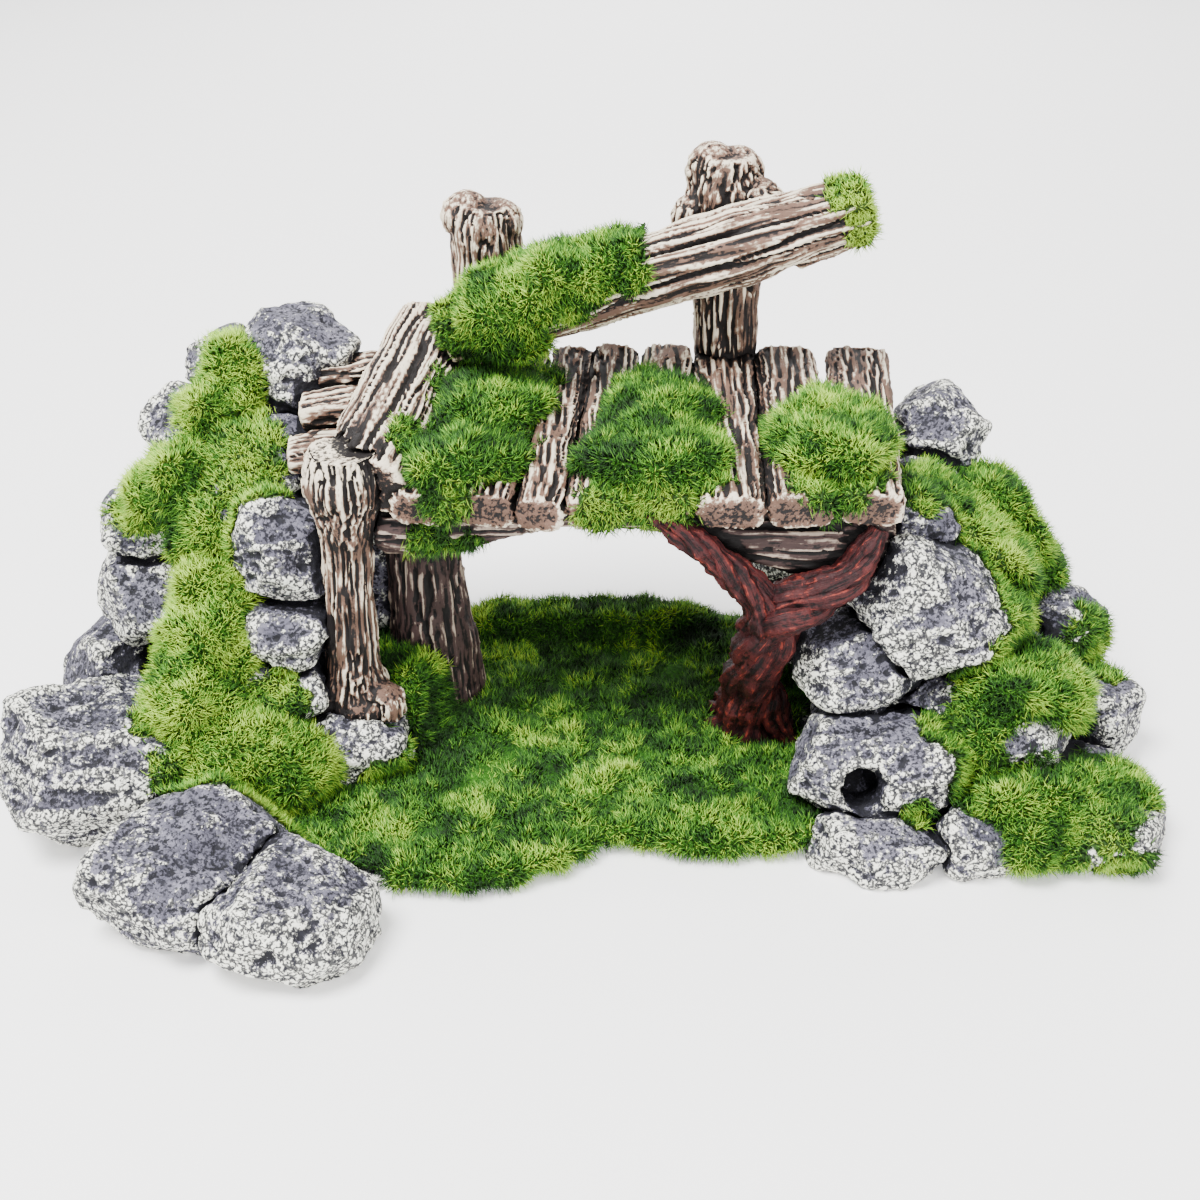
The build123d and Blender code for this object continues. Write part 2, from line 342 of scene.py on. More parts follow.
# %% The tree that sculpts stone
def stone_tree():
    tree, given, out = new_tree(
        "sculpted stone",
        {
            "Seed": ("Float", 0.0),
            "Bedding": ("Vector", (0.0, 0.3, 1.0)),
            "Grow": ("Float", 0.5),
            "Lumps": ("Float", 1.1),
            "Ledges": ("Float", 0.65),
            "Chips": ("Float", 0.6),
            "Pits": ("Float", 0.5),
            "Grain": ("Float", 0.5),
            "Paleness": ("Float", 0.0),
        },
    )
    seed = given["Seed"]
    place = in_millimetres(tree)
    along = vector_calc(tree, "DOT_PRODUCT", place, given["Bedding"])
    layered = vector_calc(
        tree,
        "ADD",
        vector_calc(tree, "SCALE", place, 0.3),
        vector_calc(tree, "SCALE", given["Bedding"], times(tree, along, 0.7)),
    )
    lumps = swing(tree, place, 11.0, 1.0, 0.4, seed)
    ledges = ramp(tree, noise(tree, layered, 3.4, 2.0, 0.5, seed), 0.42, 0.56, -0.6, 0.4)
    chips = ramp(tree, cells(tree, place, 6.5, seed), 0.15, 0.6, -1.0, 0.0)
    pits = ramp(tree, cells(tree, place, 2.4, seed), 0.1, 0.5, -1.0, 0.0)
    grain = swing(tree, place, 1.5, 2.0, 0.6, seed)
    height = given["Grow"]
    for share, amount, gain in (
        (lumps, given["Lumps"], 2.0),
        (ledges, given["Ledges"], 1.0),
        (chips, given["Chips"], 1.0),
        (pits, given["Pits"], 1.0),
        (grain, given["Grain"], 2.0),
    ):
        step = times(tree, times(tree, share, amount), gain)
        height = calc(tree, "ADD", height, step)
    shape = push(tree, given["Geometry"], height)
    shape = keep_attribute(tree, shape, "ridge", ridge_height(tree, 7))
    shape = keep_attribute(tree, shape, "edge", ridge_height(tree, 45))
    shape = keep_attribute(tree, shape, "paleness", given["Paleness"])
    shape = keep_attribute(tree, shape, "up", facing_up(tree))
    tree.links.new(shape, out)
    return tree


STONE_VOXEL = 0.58 * MM
stone_sculpt = stone_tree()


# %% [markdown]
# Every sculpted piece starts the same way: a copy of the node with its loose triangles joined, given an
# even skin by the voxel remesh, and smoothed a little so that sharp cuts become worn ones.


# %% From a node to an even skin
def evened(node, voxel, smoothing, extra=()):
    """A copy of a CAD node with an even skin. extra holds lumps to melt in, as (place, radius)."""
    work = bmesh.new()
    work.from_mesh(frame["nodes"][node].data)
    bmesh.ops.remove_doubles(work, verts=work.verts, dist=0.001 * MM)
    for place, radius in extra:
        ball = bmesh.ops.create_icosphere(work, subdivisions=2, radius=radius)
        bmesh.ops.translate(work, verts=ball["verts"], vec=place)
    mesh = bpy.data.meshes.new(node + "_cast")
    work.to_mesh(mesh)
    work.free()
    piece = new_object(node + "_cast", mesh)
    skin = piece.modifiers.new("skin", "REMESH")
    skin.mode = "VOXEL"
    skin.voxel_size = voxel
    soften = piece.modifiers.new("soften", "SMOOTH")
    soften.factor = 0.5
    soften.iterations = smoothing
    return piece


def finish_piece(piece, node):
    """Puts a finished piece on the body and in the place of its node."""
    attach(piece, "root")
    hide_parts(node)


# %% [markdown]
# ## Paints
# The paint has three coats: a base colour, a dark wash that stays in the hollows, and a dry brush that
# only touches what stands out. The sculpting stored how far each point stands out, so the paints read
# that, and break it up with fine noise, as a nearly dry brush does. On the stones and timbers the coats
# also carry painted shade in crevices and along seams, and painted light and shade by which way a surface
# faces.


# %% Helpers for paints
def new_paint(name):
    """A material with its node tree emptied but for the shader, and its place in millimetres."""
    paint = bpy.data.materials.new(name)
    paint.use_nodes = True
    tree = paint.node_tree
    shader = tree.nodes["Principled BSDF"]
    where = tree.nodes.new("ShaderNodeTexCoord").outputs["Object"]
    return paint, tree, shader, vector_calc(tree, "SCALE", where, 1 / MM)


def attribute(tree, name, output="Fac"):
    return add_node(tree, "ShaderNodeAttribute", attribute_name=name).outputs[output]


def mix(tree, share, one, other, how="MIX"):
    """A colour between two, by a share from 0 to 1."""
    made = tree.nodes.new("ShaderNodeMix")
    made.data_type = "RGBA"
    made.blend_type = how
    made.clamp_factor = True
    for socket, value in ((0, share), (6, one), (7, other)):
        if isinstance(value, bpy.types.NodeSocket):
            tree.links.new(value, made.inputs[socket])
        elif socket == 0:
            made.inputs[0].default_value = value
        else:
            made.inputs[socket].default_value = (*value, 1.0)
    return made.outputs[2]


def bump(tree, shader, height, strength, distance):
    """Raises the surface by a height in the range 0 to 1 times a distance in millimetres."""
    sockets = {"Height": height, "Strength": strength, "Distance": distance * MM}
    tree.links.new(add_node(tree, "ShaderNodeBump", sockets).outputs[0], shader.inputs["Normal"])


def set_gloss(shader, roughness, specular):
    shader.inputs["Roughness"].default_value = roughness
    shader.inputs["Specular IOR Level"].default_value = specular


# %% The stone paint
GLUE_GREEN = (0.020, 0.058, 0.006)
NEAR_BLACK = (0.010, 0.010, 0.016)


def under_moss(tree, place, colour):
    """The glue under creeping moss is green, so that no stone shows between the fibres."""
    return mix(tree, glue_edge(tree, place, attribute(tree, "mossy")), colour, GLUE_GREEN)


def stone_paint():
    paint, tree, shader, place = new_paint("stone_paint")
    fine = noise(tree, place, 0.9, 3.0, 0.75)
    specks = noise(tree, place, 0.62, 2.0, 0.6, 11.0)
    worm = calc(tree, "ABSOLUTE", swing(tree, place, 1.7, 2.0, 0.6, 17.0))
    patchy = noise(tree, place, 8.0, 2.0, 0.5, 3.0)
    hue = noise(tree, place, 5.0, 3.0, 0.6, 8.0)
    stand = weigh(tree, attribute(tree, "ridge"), 0.6, fine)
    stand = weigh(tree, attribute(tree, "edge"), 0.07, stand)
    # Painted shade: darker where little open sky reaches, in the crevices between pieces, and near the
    # seams with other pieces.
    painted_crevice_shade = ramp(tree, attribute(tree, "open"), 0.05, 0.8, -0.17, 0.0)
    stand = calc(tree, "ADD", stand, painted_crevice_shade)
    stand = weigh(tree, ramp(tree, attribute(tree, "seam"), 0.2, 0.75), -0.3, stand)
    bright = weigh(tree, calc(tree, "SUBTRACT", patchy, 0.5), 0.8, stand)
    # Painted light and shade by facing: surfaces that face up get less dry brush, so tops read darker and
    # undersides paler.
    bright = weigh(tree, attribute(tree, "up"), -0.17, bright)
    bright = calc(tree, "ADD", bright, attribute(tree, "paleness"))
    base = mix(tree, ramp(tree, hue, 0.35, 0.68), (0.080, 0.077, 0.108), (0.200, 0.192, 0.245))
    # The dark wash in the hollows, which also carries the painted shade of the crevices and seams.
    darkened = mix(tree, ramp(tree, stand, 0.38, 0.49, 1.0, 0.0), base, (0.006, 0.006, 0.009))
    brushed = mix(tree, ramp(tree, bright, 0.49, 0.57), darkened, (0.90, 0.90, 0.80))
    pricked = mix(tree, ramp(tree, specks, 0.41, 0.51, 0.95, 0.0), brushed, NEAR_BLACK)
    lined = ramp(tree, worm, 0.02, 0.065, 0.95, 0.0)
    lined = times(tree, lined, ramp(tree, bright, 0.42, 0.60, 0.35, 1.0))
    wormed = mix(tree, lined, pricked, NEAR_BLACK)
    tree.links.new(under_moss(tree, place, wormed), shader.inputs["Base Color"])
    set_gloss(shader, 0.72, 0.3)
    bump(tree, shader, calc(tree, "ADD", fine, specks), 0.8, 0.4)
    return paint


paint_stone = stone_paint()

# %% Sculpt the stones
CORE_WORDS = ("core", "base_slab")
CORE_SMOOTHING, STONE_SMOOTHING = 12, 2
CORE_GROW, STONE_GROW = -0.4, 0.9  # millimetres
STONE_SEAM = 0.9  # how deep a seam is pressed, in millimetres
PALENESS = {
    "foot_stone": 0.14, "tilted_boulder": 0.05, "right_front_boulder": 0.05, "beam_stone": -0.12,
    "left_toe_boulder": 0.10, "top_boulder": -0.03, "upper_ledge": -0.07, "right_wall_stone": -0.02,
    "left_front_boulder": 0.0, "front_boulder": 0.09,
}
FINE, PLAIN, COARSE, HIDDEN = 1.0, 1.3, 1.8, 2.6  # times the voxel, by how well a piece is seen
COARSENESS = {"base_slab": HIDDEN, "left_core": COARSE, "right_core": COARSE, "left_rear_wall": PLAIN,
              "right_rear_wall": PLAIN, "left_back_stone": PLAIN, "right_back_stone": PLAIN}
chance = np.random.default_rng(7)
sculpted = {}
count = 0
for number, node in enumerate(stones):
    hidden = any(word in node for word in CORE_WORDS)
    smoothing = CORE_SMOOTHING if hidden else STONE_SMOOTHING
    piece = evened(node, STONE_VOXEL * COARSENESS.get(node, FINE), smoothing)
    tilt = chance.normal(0.0, 0.2, 2)
    use_tree(
        piece,
        stone_sculpt,
        seed=number * 3.7,
        bedding=tuple(Vector((tilt[0], 0.25 + tilt[1], 1.0)).normalized()),
        grow=CORE_GROW if hidden else STONE_GROW,
        paleness=PALENESS.get(node, float(chance.uniform(-0.05, 0.05))),
    )
    settle(piece, paint_stone)
    keep_crevices(piece.data, node, depth=STONE_SEAM)
    finish_piece(piece, node)
    sculpted[node] = piece
    count += len(piece.data.polygons)
print("stones sculpted,", count, "faces")

# %% [markdown]
# ## Carving the timbers
# Weathered wood is all long grooves. They could be drawn one by one, but stretched noise gives the same
# wandering furrows: the grain direction comes from each node's own longest axis, and the noise is
# sampled in a space that is squeezed along it.


# %% The tree that carves wood
GRAIN_SQUEEZE = 0.965  # the share of a length along the grain that the noise doesn't see


def wood_tree():
    tree, given, out = new_tree(
        "carved wood",
        {
            "Seed": ("Float", 0.0),
            "Grain": ("Vector", (1.0, 0.0, 0.0)),
            "Grow": ("Float", 0.3),
            "Furrow": ("Float", 0.66),
            "Cap": ("Float", 999.0),
            "Depth": ("Float", 0.5),
            "Wander": ("Float", 1.6),
            "Gnarls": ("Float", 1.0),
            "Paleness": ("Float", 0.0),
        },
    )
    seed, grain = given["Seed"], given["Grain"]
    place = in_millimetres(tree)
    gnarl = add_node(
        tree,
        "ShaderNodeTexNoise",
        {"Vector": place, "W": seed, "Scale": 1 / 9.0, "Detail": 1.0},
        noise_dimensions="4D",
    ).outputs[1]
    gnarl = vector_calc(tree, "SUBTRACT", gnarl, (0.5, 0.5, 0.5))
    bent = vector_calc(tree, "ADD", place, vector_calc(tree, "SCALE", gnarl, given["Wander"]))
    along = vector_calc(tree, "DOT_PRODUCT", bent, grain)
    squeeze = vector_calc(tree, "SCALE", grain, times(tree, along, -GRAIN_SQUEEZE))
    grained = vector_calc(tree, "ADD", bent, squeeze)
    furrow_place = vector_calc(tree, "SCALE", grained, calc(tree, "DIVIDE", 1.0, given["Furrow"]))
    fibre = swing(tree, furrow_place, 1.15, 2.0, 0.6, seed)
    split_at = calc(tree, "ABSOLUTE", swing(tree, furrow_place, 2.7, 1.0, 0.4, seed))
    normal = tree.nodes.new("GeometryNodeInputNormal").outputs[0]
    end_on = calc(tree, "ABSOLUTE", vector_calc(tree, "DOT_PRODUCT", normal, grain))
    along_side = ramp(tree, end_on, 0.5, 0.85, 1.0, 0.3)
    splits = times(tree, ramp(tree, split_at, 0.005, 0.05, -1.0, 0.0), along_side)
    depth = times(tree, given["Depth"], along_side)
    lumps = swing(tree, place, 8.0, 1.0, 0.4, seed)
    height = weigh(tree, times(tree, fibre, 4.5), depth, given["Grow"])
    height = weigh(tree, times(tree, splits, 2.2), depth, height)
    gnarls = times(tree, lumps, times(tree, given["Gnarls"], 2.0))
    shape = push(tree, given["Geometry"], calc(tree, "ADD", height, gnarls))
    shape = keep_attribute(tree, shape, "grain", grained, "FLOAT_VECTOR")
    shape = keep_attribute(tree, shape, "split", splits)
    high = add_node(tree, "ShaderNodeSeparateXYZ", {0: place}).outputs[2]
    above = calc(tree, "SUBTRACT", high, given["Cap"])
    paleness = calc(tree, "ADD", given["Paleness"], ramp(tree, above, -1.5, 1.5, 0.0, 0.26))
    shape = keep_attribute(tree, shape, "paleness", paleness)
    shape = keep_attribute(tree, shape, "up", facing_up(tree))
    shape = keep_attribute(tree, shape, "ridge", ridge_height(tree, 6))
    shape = keep_attribute(tree, shape, "edge", ridge_height(tree, 30))
    tree.links.new(shape, out)
    return tree


WOOD_VOXEL = 0.45 * MM
wood_carve = wood_tree()


def longest_axis(node):
    """The direction in which a node is longest."""
    mesh = frame["nodes"][node].data
    places = vertex_places(mesh)
    box_low, box_high = places.min(0), places.max(0)
    spread = places - (box_low + box_high) / 2
    return tuple(float(share) for share in np.linalg.svd(spread, full_matrices=False)[2][0])


# %% The wood paints
def wood_paint(name, dark, middle, pale, dryness):
    paint, tree, shader, place = new_paint(name)
    grained = attribute(tree, "grain", "Vector")
    streaks = noise(tree, grained, 0.5, 2.0, 0.7)
    speckle = noise(tree, place, 0.9, 2.0, 0.65)
    patchy = noise(tree, place, 7.0, 2.0, 0.5, 5.0)
    stand = weigh(tree, attribute(tree, "ridge"), 1.05, times(tree, streaks, 0.7))
    stand = weigh(tree, speckle, 0.3, stand)
    stand = weigh(tree, attribute(tree, "edge"), 0.06, stand)
    # Painted light and shade by facing: tops get less of the wash and more of the dry brush, undersides
    # the other way.
    stand = weigh(tree, attribute(tree, "up"), 0.05, stand)
    # Painted shade: darker where little open sky reaches, in the crevices between pieces, and near the
    # seams with other pieces.
    painted_crevice_shade = ramp(tree, attribute(tree, "open"), 0.05, 0.8, -0.18, 0.0)
    stand = calc(tree, "ADD", stand, painted_crevice_shade)
    stand = weigh(tree, ramp(tree, attribute(tree, "seam"), 0.25, 0.8), -0.3, stand)
    stand = weigh(tree, attribute(tree, "split"), 0.24, stand)
    bright = weigh(tree, calc(tree, "SUBTRACT", patchy, 0.5), 0.5, stand)
    bright = calc(tree, "ADD", bright, attribute(tree, "paleness"))
    base = mix(tree, ramp(tree, patchy, 0.4, 0.65), middle, tuple(c * 1.5 for c in middle))
    # The dark wash in the grooves, which also carries the painted shade of the crevices, the seams and
    # the undersides.
    darkened = mix(tree, ramp(tree, stand, 0.44, 0.57, 1.0, 0.0), base, dark)
    brushed = mix(tree, ramp(tree, bright, dryness, dryness + 0.22), darkened, pale)
    tree.links.new(under_moss(tree, place, brushed), shader.inputs["Base Color"])
    set_gloss(shader, 0.7, 0.3)
    bump(tree, shader, streaks, 0.8, 0.35)
    return paint


paint_pale_wood = wood_paint(
    "pale_wood_paint", (0.007, 0.005, 0.005), (0.115, 0.064, 0.044), (0.78, 0.68, 0.52), 0.62
)
paint_dark_wood = wood_paint(
    "dark_wood_paint", (0.005, 0.004, 0.004), (0.040, 0.023, 0.021), (0.42, 0.33, 0.26), 0.70
)
wood_paints = {"pale_wood_paint": paint_pale_wood, "dark_wood_paint": paint_dark_wood}


# %% Carve the timbers
def on_top(node, *knobs):
    """Lumps on a node, each as (share across, share deep, how far below its top, radius)."""
    low, high = (Vector(corner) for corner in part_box(node))
    made = []
    for across, deep, down, radius in knobs:
        spot = Vector((low.x + across * (high.x - low.x), low.y + deep * (high.y - low.y), high.z))
        made.append((spot - Vector((0, 0, down * MM)), radius * MM))
    return made


knobs = {
    "left_rail_post": on_top("left_rail_post", (0.25, 0.5, 2.0, 4.4), (0.78, 0.45, 3.0, 4.0)),
    "right_rail_post": on_top(
        "right_rail_post", (0.3, 0.5, 3.0, 5.0), (0.88, 0.3, 8.0, 4.4), (0.08, 0.4, 11.0, 4.0),
        (0.62, 0.6, 3.6, 4.6)
    ),
    "front_post": on_top(
        "front_post", (0.2, 0.35, 51.0, 4.0), (0.55, 0.2, 53.0, 4.2), (0.85, 0.3, 51.0, 4.4)
    ),
}
WOOD_PALENESS = {
    "edge_log": 0.06, "rail": -0.05, "front_post": -0.02, "rear_trunk": -0.06,
    **{f"ramp_board_{i}": -0.02 for i in (1, 2, 3)},
    **{f"plank_{i}": -0.06 for i in range(2, 10)},
}
COARSENESS.update({"rear_beam": PLAIN, "rear_trunk": PLAIN, "front_beam": PLAIN})
CAP_DEPTH = 6.0  # how far down from its top the front post is brushed pale, in millimetres
TIMBER_SMOOTHING = 5
TIMBER_SEAM = 0.3  # shallower than a stone's, or the gaps between planks would open right through
CARVING = {
    "front_post": {"grow": -0.5, "cap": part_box("front_post")[1][2] / MM - CAP_DEPTH},
    "rail": {"furrow": 0.9, "depth": 0.7, "wander": 0.9},
    "edge_log": {"wander": 0.9},
}
count = 0
for number, node in enumerate(timbers):
    voxel = WOOD_VOXEL * COARSENESS.get(node, FINE)
    piece = evened(node, voxel, TIMBER_SMOOTHING, knobs.get(node, ()))
    use_tree(piece, wood_carve, seed=20 + number * 2.3, grain=longest_axis(node),
             paleness=WOOD_PALENESS.get(node, 0.0), **CARVING.get(node, {}))
    settle(piece, wood_paints[slot_of[node]])
    keep_crevices(piece.data, node, depth=TIMBER_SEAM)
    finish_piece(piece, node)
    sculpted[node] = piece
    count += len(piece.data.polygons)
print("timbers carved,", count, "faces")

# %% [markdown]
# ## The twisted root
# A root like this is a bundle: several strands that wind round each other, fork, and run out to points.
# One carved limb would look like a branch, so each limb is made as strands of tube that follow its
# middle line at a small distance and turn about it.


# %% Middle lines of the limbs, in millimetres
LIMBS = {
    # name: (points, radius of the bundle at each point, turns, strands)
    "trunk": (((31, 15, 3), (30.5, 11, 14), (31.5, 6, 26), (32.5, 1, 39)), (7.6, 5.2, 4.8, 5.2), 0.5, 8),
    "left": (((33, 4, 30), (31, 0, 38), (26, -1, 45), (19, -1.5, 52), (10, -1.5, 57.6)),
             (4.0, 4.2, 3.3, 2.7, 1.1), 0.8, 6),
    "right": (((31, 4, 30), (34, 0, 38), (40, -1, 41.5), (45.5, -1, 46), (49.5, 0, 54)),
              (4.0, 4.5, 3.9, 3.2, 1.5), 0.8, 6),
    "right_toe": (((31, 11, 20), (32.5, 11.5, 13), (35, 10, 8), (38.5, 8.5, 3.5)),
                  (3.0, 3.6, 3.2, 1.4), 0.5, 4),
    "left_toe": (((31, 12, 18), (29.5, 14.5, 11), (27, 18, 6.5), (24, 21, 4.5)),
                 (3.0, 3.6, 3.2, 1.4), 0.5, 4),
}
ROOT_STEP = 0.55  # millimetres between the rings of a strand
ROOT_SIDES = 22
STRAND_OUT = 0.48  # how far out a strand's middle winds, as a share of the bundle's radius


# %% One strand as a tube
def smooth_line(points, values, step):
    """Points and values along a Catmull-Rom curve through the points, about a step apart."""
    points = np.array(points, float)
    values = np.array(values, float)
    padded = np.vstack([2 * points[0] - points[1], points, 2 * points[-1] - points[-2]])
    places, sizes = [], []
    for i in range(len(points) - 1):
        a, b, c, d = padded[i : i + 4]
        steps = max(2, int(np.linalg.norm(c - b) / step))
        for t in np.arange(steps) / steps:
            bend = (2 * b + (c - a) * t + (2 * a - 5 * b + 4 * c - d) * t**2
                    + (3 * b - a - 3 * c + d) * t**3) / 2
            places.append(bend)
            sizes.append(values[i] + (values[i + 1] - values[i]) * t)
    places.append(points[-1])
    sizes.append(values[-1])
    return np.array(places), np.array(sizes)


def frames_along(places):
    """Directions across a line that turn with it and don't spin."""
    ahead = np.gradient(places, axis=0)
    ahead /= np.linalg.norm(ahead, axis=1)[:, None]
    side = np.cross(ahead[0], (0.0, 1.0, 0.2))
    sides = []
    for direction in ahead:
        side = side - direction * (side @ direction)
        side = side / np.linalg.norm(side)
        sides.append(side)
    sides = np.array(sides)
    return sides, np.cross(ahead, sides)


def strand_mesh(places, radii, seed):
    """Rings of a fluted tube along a line, closed at both ends, with its grain coordinates."""
    sides, ups = frames_along(places)
    angle = np.linspace(0, 2 * math.pi, ROOT_SIDES, endpoint=False)
    chance = np.random.default_rng(seed)
    flutes = chance.integers(4, 7)
    run = np.concatenate([[0], np.cumsum(np.linalg.norm(np.diff(places, axis=0), axis=1))])
    wave = angle[None, :] * flutes + run[:, None] * chance.uniform(0.12, 0.25) + chance.uniform(0, 6)
    knots = 1 + 0.12 * np.sin(run * chance.uniform(0.35, 0.6) + chance.uniform(0, 6))[:, None]
    reach = radii[:, None] * (1 + 0.13 * np.cos(wave)) * knots
    ring = (np.cos(angle)[None, :, None] * sides[:, None] + np.sin(angle)[None, :, None] * ups[:, None])
    verts = (places[:, None] + ring * reach[..., None]).reshape(-1, 3)
    grain = np.stack([np.cos(angle)[None, :] * radii[:, None] * 2,
                      np.sin(angle)[None, :] * radii[:, None] * 2,
                      np.broadcast_to(run[:, None] * 0.1 + seed * 9, (len(run), ROOT_SIDES))], -1)
    flute = np.cos(wave) * 0.25
    rings, faces = len(places), []
    for i in range(rings - 1):
        for j in range(ROOT_SIDES):
            k = (j + 1) % ROOT_SIDES
            faces.append((i * ROOT_SIDES + j, i * ROOT_SIDES + k,
                          (i + 1) * ROOT_SIDES + k, (i + 1) * ROOT_SIDES + j))
    faces.append(tuple(reversed(range(ROOT_SIDES))))
    faces.append(tuple(range((rings - 1) * ROOT_SIDES, rings * ROOT_SIDES)))
    return verts, faces, grain.reshape(-1, 3), flute.ravel()


# %% Bundle the strands
def root_piece():
    verts, faces, grains, flutes = [], [], [], []
    seed = 0
    for points, widths, turns, strands in LIMBS.values():
        middle, width = smooth_line(points, widths, ROOT_STEP)
        sides, ups = frames_along(middle)
        share = np.linspace(0, 1, len(middle))
        for number in range(strands):
            seed += 1
            chance = np.random.default_rng(seed)
            start = 2 * math.pi * number / strands + chance.uniform(-0.3, 0.3)
            angle = start + 2 * math.pi * turns * share + 0.35 * np.sin(share * 7 + seed)
            out = width * STRAND_OUT * (1 + 0.3 * np.sin(share * 9 + seed * 2))
            line = middle + out[:, None] * (np.cos(angle)[:, None] * sides + np.sin(angle)[:, None] * ups)
            thick = width * (0.5 if strands > 5 else 0.62) * chance.uniform(0.7, 1.2)
            made = strand_mesh(line, np.maximum(thick, 0.3), seed)
            faces += [tuple(f + len(verts) for f in face) for face in made[1]]
            verts += made[0].tolist()
            grains += made[2].tolist()
            flutes += made[3].tolist()
    mesh = bpy.data.meshes.new("red_root_cast")
    mesh.from_pydata([[c * MM for c in v] for v in verts], [], faces)
    mesh.attributes.new("grain", "FLOAT_VECTOR", "POINT").data.foreach_set("vector", np.ravel(grains))
    store(mesh, "ridge", np.array(flutes))
    work = bmesh.new()
    work.from_mesh(mesh)
    bmesh.ops.recalc_face_normals(work, faces=work.faces)
    work.to_mesh(mesh)
    work.free()
    return new_object("red_root_cast", mesh)


# %% The root's bark and paint
def bark_tree():
    tree, given, out = new_tree("root bark", {"Knots": ("Float", 1.1), "Bark": ("Float", 0.7)})
    place = in_millimetres(tree)
    knots = swing(tree, place, 4.0, 1.0, 0.4, 2.0)
    bark = swing(tree, place, 1.3, 2.0, 0.6, 5.0)
    height = times(tree, knots, times(tree, given["Knots"], 2.0))
    height = weigh(tree, bark, times(tree, given["Bark"], 2.0), height)
    shape = push(tree, given["Geometry"], height)
    shape = keep_attribute(tree, shape, "bark", bark)
    tree.links.new(shape, out)
    return tree


def root_paint():
    paint, tree, shader, place = new_paint("root_paint")
    grained = attribute(tree, "grain", "Vector")
    streaks = noise(tree, grained, 0.5, 2.0, 0.6)
    patchy = noise(tree, place, 5.0, 2.0, 0.5)
    grit = noise(tree, place, 0.7, 2.0, 0.65, 3.0)
    stand = weigh(tree, attribute(tree, "ridge"), 0.7, streaks)
    stand = weigh(tree, attribute(tree, "bark"), 0.9, stand)
    stand = weigh(tree, calc(tree, "SUBTRACT", grit, 0.5), 0.6, stand)
    base = mix(tree, ramp(tree, patchy, 0.35, 0.65), (0.026, 0.005, 0.006), (0.062, 0.010, 0.010))
    darkened = mix(tree, ramp(tree, stand, 0.32, 0.52, 1.0, 0.0), base, (0.005, 0.0015, 0.002))
    brushed = mix(tree, ramp(tree, stand, 0.66, 0.88), darkened, (0.20, 0.030, 0.020))
    tree.links.new(brushed, shader.inputs["Base Color"])
    set_gloss(shader, 0.58, 0.22)
    bump(tree, shader, calc(tree, "ADD", streaks, grit), 0.8, 0.4)
    return paint


red_root = root_piece()
use_tree(red_root, bark_tree())
settle(red_root, root_paint())
finish_piece(red_root, "red_root")
print("root strands,", len(red_root.data.polygons), "faces")

# %% [markdown]
# ## Moss
# The moss is flock: fibres about two millimetres long, at this size, that stand in glue. The pad under
# them is shaped like the stones, only softer. Fibres aren't wanted where a pad lies against a stone, so
# they are left out wherever a point of it has next to no open sky.


# %% The tree that shapes a pad
def named(tree, name):
    """A value stored on the mesh."""
    sockets = {"Name": name}
    return add_node(tree, "GeometryNodeInputNamedAttribute", sockets, data_type="FLOAT").outputs[0]


def pad_tree():
    tree, given, out = new_tree(
        "moss pad",
        {
            "Seed": ("Float", 0.0),
            "Grow": ("Float", -0.9),
            "Lumps": ("Float", 2.3),
            "Tufts": ("Float", 1.2),
        },
    )
    place = in_millimetres(tree)
    lumps = swing(tree, place, 6.5, 2.0, 0.5, given["Seed"])
    height = weigh(tree, lumps, times(tree, given["Lumps"], 2.0), given["Grow"])
    tufts = swing(tree, place, 3.0, 1.0, 0.5, given["Seed"])
    height = weigh(tree, tufts, times(tree, given["Tufts"], 2.0), height)
    shape = push(tree, given["Geometry"], height)
    shape = keep_attribute(tree, shape, "edge", ridge_height(tree, 10))
    shape = keep_attribute(tree, shape, "reach", 1.0)
    tree.links.new(shape, out)
    return tree


# %% The tree that plants the fibres
def drawn(tree, low, high, seed):
    """A random number for each point."""
    sockets = {"Min": low, "Max": high, "Seed": seed}
    return first_output(add_node(tree, "FunctionNodeRandomValue", sockets, data_type="FLOAT"))


